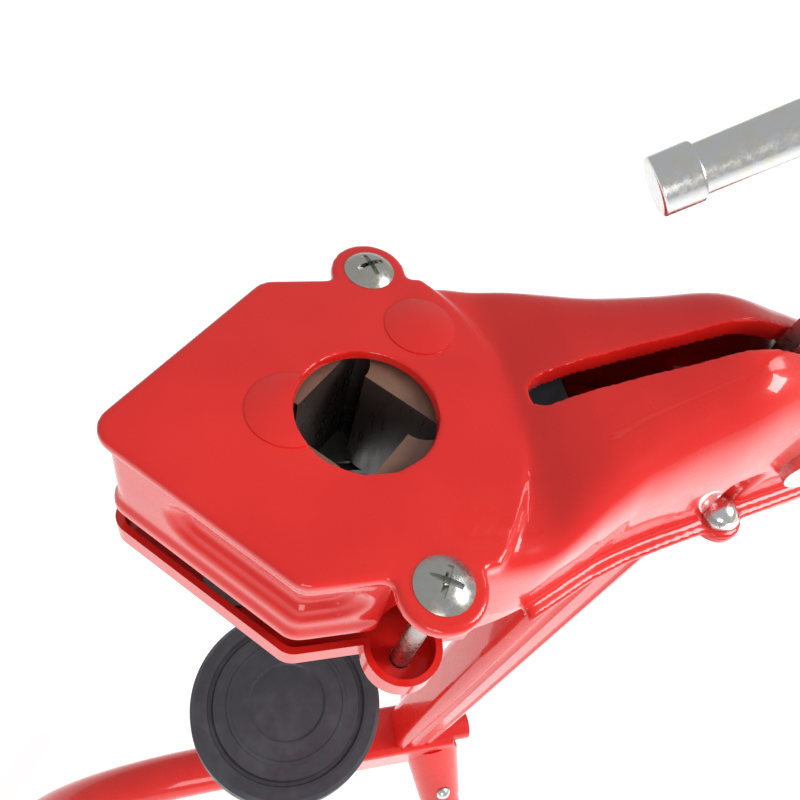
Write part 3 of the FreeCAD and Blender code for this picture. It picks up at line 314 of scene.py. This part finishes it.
# ------------------------------------------------------------------ shaping tools
class Form:
    """A closed shape worked in millimetres from the cork hole."""

    def __init__(self) -> None:
        """Start with an empty shape."""
        self.bm = bmesh.new()

    def slab(self, corners: list[tuple[float, float]], rounds: list[float], low: float,
             high: float, steps: int = 8) -> "Form":
        """Add an upright prism with rounded corners.

        Args:
            corners: the outline in plan, in order.
            rounds: the plan radius at each corner.
            low: height of the underside.
            high: height of the top.
            steps: facets in each rounded corner.

        Returns:
            The form, for chaining.
        """
        piece = bmesh.new()
        verts = [piece.verts.new((x, y, low)) for x, y in corners]
        piece.faces.new(verts)
        count = len(corners)
        for i, radius in enumerate(rounds):
            if radius <= 0:
                continue
            here = Vector(corners[i])
            a = (Vector(corners[i - 1]) - here).normalized()
            b = (Vector(corners[(i + 1) % count]) - here).normalized()
            reach = radius / math.tan(a.angle(b) / 2)
            bmesh.ops.bevel(piece, geom=[verts[i]], affect="VERTICES", offset=reach, segments=steps,
                            profile=0.5, material=-1)
        self._raise(piece, high - low)
        return self.take(piece)

    @staticmethod
    def _raise(piece: bmesh.types.BMesh, height: float) -> None:
        """Extrude a flat face into a closed prism."""
        made = bmesh.ops.extrude_face_region(piece, geom=piece.faces[:])
        up = [v for v in made["geom"] if isinstance(v, bmesh.types.BMVert)]
        bmesh.ops.translate(piece, verts=up, vec=(0, 0, height))
        bmesh.ops.recalc_face_normals(piece, faces=piece.faces[:])

    def drum(self, radius: float, x: float, y: float, low: float, high: float,
             top: float | None = None, steps: int = 72) -> "Form":
        """Add an upright cylinder or cone; top is the upper radius if it differs."""
        piece = bmesh.new()
        bmesh.ops.create_cone(piece, cap_ends=True, segments=steps, radius1=radius,
                              radius2=radius if top is None else top, depth=high - low,
                              matrix=Matrix.Translation((x, y, (low + high) / 2)))
        return self.take(piece)

    def take(self, piece: bmesh.types.BMesh) -> "Form":
        """Add another mesh to this one and free it."""
        bmesh.ops.recalc_face_normals(piece, faces=piece.faces[:])
        held = bpy.data.meshes.new("held")
        piece.to_mesh(held)
        piece.free()
        self.bm.from_mesh(held)
        bpy.data.meshes.remove(held)
        return self

    def absorb(self, obj: bpy.types.Object) -> "Form":
        """Add an object's mesh to this form and remove the object."""
        piece = bmesh.new()
        piece.from_mesh(obj.data)
        bpy.data.objects.remove(obj)
        return self.take(piece)

    def object(self, name: str) -> bpy.types.Object:
        """Turn the form into an object, still in millimetres."""
        mesh = bpy.data.meshes.new(name)
        self.bm.to_mesh(mesh)
        self.bm.free()
        made = bpy.data.objects.new(name, mesh)
        bpy.context.scene.collection.objects.link(made)
        return made


def settle(obj: bpy.types.Object) -> bpy.types.Object:
    """Bake an object's modifiers into its mesh."""
    bpy.context.view_layer.update()
    graph = bpy.context.evaluated_depsgraph_get()
    mesh = bpy.data.meshes.new_from_object(obj.evaluated_get(graph))
    old = obj.data
    obj.modifiers.clear()
    obj.data = mesh
    bpy.data.meshes.remove(old)
    return obj


def carve(obj: bpy.types.Object, tool: Form) -> bpy.types.Object:
    """Cut a form out of an object.

    Args:
        obj: the object to cut.
        tool: closed forms that don't touch each other's faces.

    Returns:
        The object, cut.
    """
    cutter = tool.object("cutter")
    made = obj.modifiers.new("cut", "BOOLEAN")
    made.operation, made.solver, made.object = "DIFFERENCE", "EXACT", cutter
    made.use_self = True
    settle(obj)
    bpy.data.objects.remove(cutter)
    return obj


def knead(obj: bpy.types.Object, voxel: float, rounds: int) -> bpy.types.Object:
    """Weld overlapping shells into one skin and soften its edges, as a press would.

    Args:
        obj: closed shells that may overlap.
        voxel: grid size in millimetres.
        rounds: how many times the skin is relaxed.

    Returns:
        The object with one soft skin.
    """
    weld = obj.modifiers.new("weld", "REMESH")
    weld.mode, weld.voxel_size, weld.use_smooth_shade = "VOXEL", voxel, True
    if rounds:
        relax = obj.modifiers.new("relax", "SMOOTH")
        relax.factor, relax.iterations = 0.5, rounds
    return settle(obj)


def merge(into: bpy.types.Object, other: bpy.types.Object) -> bpy.types.Object:
    """Add another object's mesh to an object's own, as it is, and remove the other."""
    bm = bmesh.new()
    bm.from_mesh(into.data)
    bm.from_mesh(other.data)
    bm.to_mesh(into.data)
    bm.free()
    bpy.data.objects.remove(other)
    return into


def finish_piece(obj: bpy.types.Object, datum: Datum, material: bpy.types.Material, body: str,
                 replaces: tuple[str, ...] = (), angle: float = 40) -> bpy.types.Object:
    """Place a piece in the frame, shade it and tie it to its body.

    Args:
        obj: the piece in millimetres from the cork hole.
        datum: the cork hole.
        material: its finish.
        body: the body it rides on.
        replaces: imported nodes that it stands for.
        angle: edges sharper than this stay sharp.

    Returns:
        The piece.
    """
    settle(obj)
    obj.data.transform(Matrix.Translation(datum.origin) @ Matrix.Scale(MM, 4))
    obj.data.materials.clear()
    obj.data.materials.append(material)
    for face in obj.data.polygons:
        face.use_smooth = True
    obj.data.set_sharp_from_angle(angle=math.radians(angle))
    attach(obj, body)
    if replaces:
        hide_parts(*replaces)
    log.info("%s: %d faces", obj.name, len(obj.data.polygons))
    return obj


def smooth_run(table: list[tuple[float, ...]], at: float) -> list[float]:
    """Read a smooth curve through a table's rows at a place along its first column."""
    rows = [table[0]] + table + [table[-1]]
    for i in range(1, len(rows) - 2):
        if at <= rows[i + 1][0] or i == len(rows) - 3:
            p0, p1, p2, p3 = rows[i - 1], rows[i], rows[i + 1], rows[i + 2]
            t = (at - p1[0]) / (p2[0] - p1[0])
            return [0.5 * (2 * b + (c - a) * t + (2 * a - 5 * b + 4 * c - d) * t ** 2
                           + (3 * b - a - 3 * c + d) * t ** 3)
                    for a, b, c, d in zip(p0[1:], p1[1:], p2[1:], p3[1:])]
    return list(table[-1][1:])


# ------------------------------------------------------------------ the head
@dataclass
class UpperShell:
    """The pressed upper shell: flat top with a V nose, stamped walls, saddle neck and flange."""

    half: float = 47.2
    nose: float = 70.5
    over: float = 1.8
    ear: tuple[float, float, float] = (50.3, 9.4, 11.5)
    pocket: float = 10
    sheet: float = 1.7
    low: float = -38
    hole: float = 19.4
    arc_centre: float = -31.7
    arc_radius: float = 74
    side_end: float = 25
    slot: tuple[float, float, float] = (5, 51, 161)
    bolt: tuple[float, float] = (24.5, 118)
    trough: tuple[float, float, float] = (22, 8.5, 3)
    trough_depth: float = 3.8
    bead: float = 1.3
    plate_depth: float = 5
    rim: float = 5
    rim_depth: float = 2
    lobe: float = 8.5
    scallop: tuple[float, float] = (7.2, 22)
    voxel: float = 0.85
    soften: tuple[int, int] = (4, 5)
    faces_kept: float = 0.6
    hole_lip: float = 2.6
    slot_lip: float = 6.5
    badges: tuple[tuple[float, float, float], ...] = ((-27.9, 20.6, 10.5), (-1.3, -20.3, 11.7))
    stations: list[tuple[float, ...]] = field(default_factory=lambda: [
        (20, -1.8, 47.2, 0.14), (32, -1.6, 47.6, 0.15), (41, -0.6, 46.6, 0.2), (50, 5.5, 43.2, 0.28),
        (58.6, 10.6, 39.4, 0.36), (71, 15.5, 34.4, 0.42), (88, 21.4, 30.0, 0.46),
        (104, 26.4, 26.8, 0.5), (121, 22.6, 22.8, 0.52), (140, 16.5, 18.9, 0.55),
        (156, 8.0, 15.6, 0.55), (172, -8.0, 11.3, 0.55)])

    def plan(self, inset: float, back: float) -> tuple[list[tuple[float, float]], list[float]]:
        """The home-plate outline moved in by an inset, with its corner radii."""
        side = self.half - inset
        nose = self.nose - inset * math.sqrt(2)
        corner = nose - side
        soft = max(7 - inset * 0.4, 1)
        return ([(0, -nose), (side, -corner), (side, back), (-side, back), (-side, -corner)],
                [soft, soft, 0, 0, soft])

    def plate(self, form: Form) -> None:
        """The flat top with its rear arc and the two ears."""
        (tip, right, _, _, left), rounds = self.plan(0, self.side_end)
        arc = []
        for step in range(25):
            x = self.half * (1 - step / 12)
            arc.append((x, self.arc_centre + math.sqrt(self.arc_radius ** 2 - x * x)))
        form.slab([tip, right, *arc, left], [rounds[0], rounds[1], *[0] * len(arc), rounds[4]],
                  -self.plate_depth, 0)
        for s in (-1, 1):
            form.drum(self.ear[2], s * self.ear[0], self.ear[1], -self.plate_depth, 0)

    def neck(self, form: Form) -> None:
        """The saddle neck, lofted through squarish arches."""
        piece = bmesh.new()
        loops = []
        first, last, steps = self.stations[0][0], self.stations[-1][0], 60
        for i in range(steps + 1):
            y = first + (last - first) * i / steps
            crown, half, power = smooth_run(self.stations, y)
            ring = bmesh.ops.create_circle(piece, segments=96, radius=1)["verts"]
            for vert in ring:
                across, up = vert.co.x, vert.co.y
                rise = max(up, 0) ** power
                vert.co = (half * math.copysign(abs(across) ** power, across), y,
                           self.low + (crown - self.low) * rise)
            loops.append(list({e for v in ring for e in v.link_edges}))
        for a, b in zip(loops, loops[1:]):
            bmesh.ops.bridge_loops(piece, edges=a + b)
        bmesh.ops.holes_fill(piece, edges=[e for e in piece.edges if e.is_boundary], sides=0)
        form.take(piece)

    def flange(self, form: Form) -> None:
        """The rim round the neck's foot, with a lobe for each bolt."""
        places = (44, 54, 66, 80, 95, 110, 125, 140, 155)
        rim = [(smooth_run(self.stations, y)[1] + self.rim, y) for y in places]
        tail = [(14, 163), (9, 170), (0, 173)]
        right = rim + tail
        form.slab(right + [(-x, y) for x, y in reversed(right[:-1])], [0] * (2 * len(right) - 1),
                  self.low - self.rim_depth, self.low + self.rim_depth)
        for s in (-1, 1):
            form.drum(self.lobe, s * self.bolt[0], self.bolt[1], self.low - self.rim_depth,
                      self.low + self.rim_depth)

    def troughs(self, depth: float, half: float) -> Form:
        """The tool that presses the trough into both walls, round the corner between them."""
        start, reach, _ = self.trough
        middle = self.low * 0.52
        wall = self.nose / math.sqrt(2) - self.over
        side = self.half - self.over - depth
        corner = side - (self.nose - (self.over + depth) * math.sqrt(2))
        near, far = start + reach - wall, self.ear[1] - self.pocket - 4 - reach
        # each tool runs past the corner by lap and stands clear of the wall by twice clear
        lap, clear = 6, 7
        tool = Form()
        for s in (-1, 1):
            for first, last, face, turn in ((near, (side + corner) / math.sqrt(2) + lap, wall - depth, 45),
                                            (corner - lap, far, side, 90)):
                piece = bmesh.new()
                bmesh.ops.create_cube(piece, size=1)
                bmesh.ops.scale(piece, vec=(last - first, 2 * clear, 2 * half), verts=piece.verts[:])
                bmesh.ops.translate(piece, vec=((first + last) / 2, -face - clear, middle),
                                    verts=piece.verts[:])
                tip = near if turn == 45 else far
                bmesh.ops.create_cone(piece, cap_ends=True, segments=40, radius1=half, radius2=half,
                                      depth=2 * clear,
                                      matrix=Matrix.Translation((tip, -face - clear - 0.001, middle))
                                      @ Matrix.Rotation(math.radians(90), 4, "X"))
                bmesh.ops.rotate(piece, cent=(0, 0, 0), matrix=Matrix.Rotation(math.radians(turn), 3, "Z"),
                                 verts=piece.verts[:])
                if s < 0:
                    bmesh.ops.scale(piece, vec=(-1, 1, 1), verts=piece.verts[:])
                tool.take(piece)
        return tool

    def blank(self) -> bpy.types.Object:
        """The whole outside of the shell as one solid."""
        walls = Form().slab(*self.plan(self.over, self.stations[0][0] + 4), self.low - 2, -1)
        walls = walls.object("walls")
        reach, step = self.trough[1:]
        carve(walls, self.troughs(self.trough_depth / 2, reach))
        carve(walls, self.troughs(self.trough_depth, reach - step))
        form = Form().absorb(walls)
        form.slab(*self.plan(self.over - self.bead, self.stations[0][0] + 3), self.low - 2, self.low + 3.4)
        pockets, scallops = Form(), Form()
        for s in (-1, 1):
            pockets.drum(self.pocket, s * self.ear[0], self.ear[1], self.low - 4, -4.4)
            scallops.drum(self.scallop[0], s * self.bolt[0], self.bolt[1], self.low + self.rim_depth + 0.2,
                          self.low + self.scallop[1])
        body = carve(form.object("head_upper_shell_skin"), pockets)
        neck = Form()
        self.neck(neck)
        shoulder = carve(neck.object("shoulder"), scallops)
        rest = Form()
        self.plate(rest)
        self.flange(rest)
        for part in (body, shoulder):
            rest.absorb(part)
        return rest.object("head_upper_shell_skin")

    def openings(self) -> Form:
        """The cork hole and the lever's slot."""
        half, front, back = self.slot
        tool = Form().drum(self.hole, 0, 0, -12, 20, steps=128)
        tool.slab([(-half, front), (half, front), (half, back), (-half, back)], [0] * 4, -34, 60)
        tool.drum(half, 0, front, -34.001, 60.001, steps=48)
        return tool

    def badge_rounds(self) -> bpy.types.Object:
        """The two plain raised rounds, cut by the cork hole."""
        form = Form()
        for x, y, radius in self.badges:
            form.drum(radius, x, y, -1, 0.35, steps=96)
            form.drum(radius - 0.2, x, y, 0.3, 0.75, radius - 0.9, steps=96)
        return carve(form.object("badges"), Form().drum(self.hole + 0.5, 0, 0, -4, 4, steps=128))

    def inside(self, centre: Vector) -> bool:
        """Whether a face lies below the skin, in the floor or walls of an opening."""
        half, front, back = self.slot
        if centre.z < -self.hole_lip and math.hypot(centre.x, centre.y) < self.hole + 0.6:
            return True
        if abs(centre.x) < half + 0.7 and front - half - 1 < centre.y < back + 1:
            return centre.z < smooth_run(self.stations, centre.y)[0] - self.slot_lip
        return False

    def build(self, datum: Datum, enamel: bpy.types.Material) -> bpy.types.Object:
        """Press the shell and put it in the frame.

        Args:
            datum: the cork hole.
            enamel: its paint.

        Returns:
            The shell.
        """
        shell = knead(self.blank(), self.voxel, self.soften[0])
        carve(shell, self.openings())
        knead(shell, self.voxel, self.soften[1])
        bm = bmesh.new()
        bm.from_mesh(shell.data)
        bmesh.ops.bisect_plane(bm, geom=bm.verts[:] + bm.edges[:] + bm.faces[:],
                               plane_co=(0, 0, self.low + 0.1), plane_no=(0, 0, 1), clear_inner=True)
        doomed = [f for f in bm.faces if self.inside(f.calc_center_median())]
        bmesh.ops.delete(bm, geom=doomed, context="FACES")
        bm.to_mesh(shell.data)
        bm.free()
        fewer = shell.modifiers.new("fewer", "DECIMATE")
        fewer.ratio = self.faces_kept
        skin = shell.modifiers.new("skin", "SOLIDIFY")
        skin.thickness, skin.offset = self.sheet, -1
        settle(shell)
        merge(shell, self.badge_rounds())
        return finish_piece(shell, datum, enamel, "stand", ("head_upper_shell",), 45)


@dataclass
class ClampScrews:
    """Two broad domed screws with a cross recess."""

    ear: tuple[float, float] = (50.3, 9.4)
    radius: float = 7.75
    rise: float = 3.1
    shank: float = 3
    reach: float = 62
    recess: tuple[float, float, float] = (8.4, 1.5, 4)
    recess_middle: float = 3.75
    turns: tuple[float, float] = (20, 62)

    def dome(self, x: float, turn: float) -> bpy.types.Object:
        """One screw with its recess turned to an angle."""
        form = Form()
        y = self.ear[1]
        ball = (self.radius ** 2 + self.rise ** 2) / (2 * self.rise)
        piece = bmesh.new()
        bmesh.ops.create_uvsphere(piece, u_segments=72, v_segments=72, radius=ball)
        bmesh.ops.translate(piece, vec=(x, y, self.rise + 0.05 - ball), verts=piece.verts[:])
        form.take(piece)
        screw = form.object("clamp_screw")
        keep = Form().drum(self.radius - 0.15, x, y, 0.05, 20, steps=96).object("keep")
        cut = screw.modifiers.new("cap", "BOOLEAN")
        cut.operation, cut.solver, cut.object = "INTERSECT", "EXACT", keep
        settle(screw)
        bpy.data.objects.remove(keep)
        tool = Form()
        for spin in (0, 90):
            slab = bmesh.new()
            bmesh.ops.create_cube(slab, size=1)
            bmesh.ops.scale(slab, vec=self.recess, verts=slab.verts[:])
            bmesh.ops.rotate(slab, cent=(0, 0, 0), verts=slab.verts[:],
                             matrix=Matrix.Rotation(math.radians(turn + spin), 3, "Z"))
            bmesh.ops.translate(slab, vec=(x, y, self.recess_middle + spin * 0.0001), verts=slab.verts[:])
            tool.take(slab)
        carve(screw, tool)
        soft = screw.modifiers.new("soft", "BEVEL")
        soft.width, soft.segments, soft.limit_method = 0.22, 3, "ANGLE"
        soft.angle_limit = math.radians(35)
        return settle(screw)

    def build(self, datum: Datum, zinc: bpy.types.Material) -> bpy.types.Object:
        """Make both screws as one piece."""
        form = Form()
        for x, turn in zip((-self.ear[0], self.ear[0]), self.turns):
            form.absorb(self.dome(x, turn))
            form.drum(self.shank, x, self.ear[1], 0.2 - self.reach, 0.4, steps=48)
        return finish_piece(form.object("head_clamp_screws_domed"), datum, zinc, "stand",
                            ("head_clamp_screws",), 30)


@dataclass
class PlatformSpring:
    """The coil spring in the guide tube, made as one fixed coil; it is not made to shorten as the bottle
    platform goes down.
    """

    wire: float = 1.1 * MM
    turns: int = 13
    travel: float = 100 * MM
    steps: int = 28
    sides: int = 12

    def build(self, steel: bpy.types.Material) -> bpy.types.Object:
        """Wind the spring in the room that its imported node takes.

        Args:
            steel: its finish.

        Returns:
            The spring.
        """
        low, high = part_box("platform_spring")
        centre = (low + high) / 2
        coil = (high.x - low.x) / 2 - self.wire
        start, end = low.z + self.wire, high.z - self.wire
        count = self.steps * self.turns
        bm = bmesh.new()
        ring = bmesh.ops.create_circle(bm, segments=self.sides, radius=self.wire, cap_ends=False,
                                       matrix=Matrix.Translation((centre.x + coil, centre.y, start))
                                       @ Matrix.Rotation(math.radians(90), 4, "X"))["verts"]
        edges = list({e for v in ring for e in v.link_edges})
        bmesh.ops.spin(bm, geom=edges, cent=(centre.x, centre.y, 0), axis=(0, 0, 1),
                       dvec=(0, 0, (end - start) / count), angle=math.tau * self.turns, steps=count)
        bmesh.ops.holes_fill(bm, edges=[e for e in bm.edges if e.is_boundary], sides=0)
        bmesh.ops.recalc_face_normals(bm, faces=bm.faces[:])
        mesh = bpy.data.meshes.new("platform_spring_coil")
        bm.to_mesh(mesh)
        bm.free()
        for face in mesh.polygons:
            face.use_smooth = True
        mesh.materials.append(steel)
        spring = bpy.data.objects.new("platform_spring_coil", mesh)
        bpy.context.scene.collection.objects.link(spring)
        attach(spring, "stand")
        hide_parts("platform_spring")
        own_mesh(spring)
        log.info("spring: %.4f to %.4f m, %d faces", min(v.co.z for v in mesh.vertices),
                 max(v.co.z for v in mesh.vertices), len(mesh.polygons))
        return spring


# ------------------------------------------------------------------ studio
@dataclass
class Studio:
    """A pale floor, soft light from all round and the camera."""

    datum: Datum
    lens: float = 35.107
    place: tuple[float, float, float] = (111.3, -46.5, 167.5)
    azimuth: float = 63.83
    elevation: float = 52.91
    roll: float = 18.22

    def camera(self) -> None:
        """Set up the camera above the near side of the head."""
        a, e, r = map(math.radians, (self.azimuth, self.elevation, self.roll))
        back = Vector((math.sin(a) * math.cos(e), -math.cos(a) * math.cos(e), math.sin(e)))
        right = Vector((math.cos(a), math.sin(a), 0))
        up = back.cross(right)
        across = right * math.cos(r) + up * math.sin(r)
        upward = up * math.cos(r) - right * math.sin(r)
        data = bpy.data.cameras.new("camera")
        data.lens, data.sensor_width = self.lens, 36
        data.clip_start, data.clip_end = 0.01, 50
        camera = bpy.data.objects.new("camera", data)
        turn = Matrix((across, upward, back)).transposed().to_4x4()
        camera.matrix_world = Matrix.Translation(self.datum.at(*self.place)) @ turn
        bpy.context.scene.collection.objects.link(camera)
        bpy.context.scene.camera = camera

    def lamp(self, name: str, place: tuple[float, float, float], size: float, power: float,
             aim: tuple[float, float, float] = (0, 0.04, 0.55)) -> None:
        """Add a soft square light aimed at a point."""
        data = bpy.data.lights.new(name, "AREA")
        data.size, data.energy = size, power
        lamp = bpy.data.objects.new(name, data)
        lamp.location = place
        lamp.rotation_euler = (Vector(place) - Vector(aim)).to_track_quat("Z", "Y").to_euler()
        bpy.context.scene.collection.objects.link(lamp)

    def build(self) -> None:
        """Make the floor, the light and the camera."""
        mesh = bpy.data.meshes.new("floor")
        bm = bmesh.new()
        bmesh.ops.create_grid(bm, x_segments=2, y_segments=2, size=6)
        bm.to_mesh(mesh)
        bm.free()
        floor = bpy.data.objects.new("floor", mesh)
        bpy.context.scene.collection.objects.link(floor)
        n = Nodes("floor")
        pale = n.mix(n.ramp(n.noise(3, 3), 0.3, 0.7, 0, 1), (0.93, 0.93, 0.93), (0.90, 0.90, 0.90))
        n.link(pale, "Base Color")
        n.set(Roughness=0.8, Emission_Color=(1, 1, 1, 1), Emission_Strength=0.45)
        mesh.materials.append(n.material)
        world = bpy.data.worlds.new("studio")
        world.use_nodes = True
        world.node_tree.nodes["Background"].inputs[0].default_value = (1, 1, 1, 1)
        world.node_tree.nodes["Background"].inputs[1].default_value = 0.5
        bpy.context.scene.world = world
        bpy.context.scene.view_settings.view_transform = "Standard"
        self.lamp("key", (0.5, 1.7, 2.0), 0.9, 30)
        self.lamp("fill", (1.9, -0.5, 1.3), 0.8, 10)
        self.camera()


def main() -> None:
    """Build the corker's looks in order."""
    logging.basicConfig(level=logging.INFO, format="%(message)s")
    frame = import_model()
    datum = Datum.read()
    finishes = Finishes()
    dress_nodes(frame, finishes)
    UpperShell().build(datum, finishes.enamel)
    ClampScrews().build(datum, finishes.screw)
    PlatformSpring().build(finishes.steel)
    Studio(datum).build()


if __name__ == "__main__":
    main()
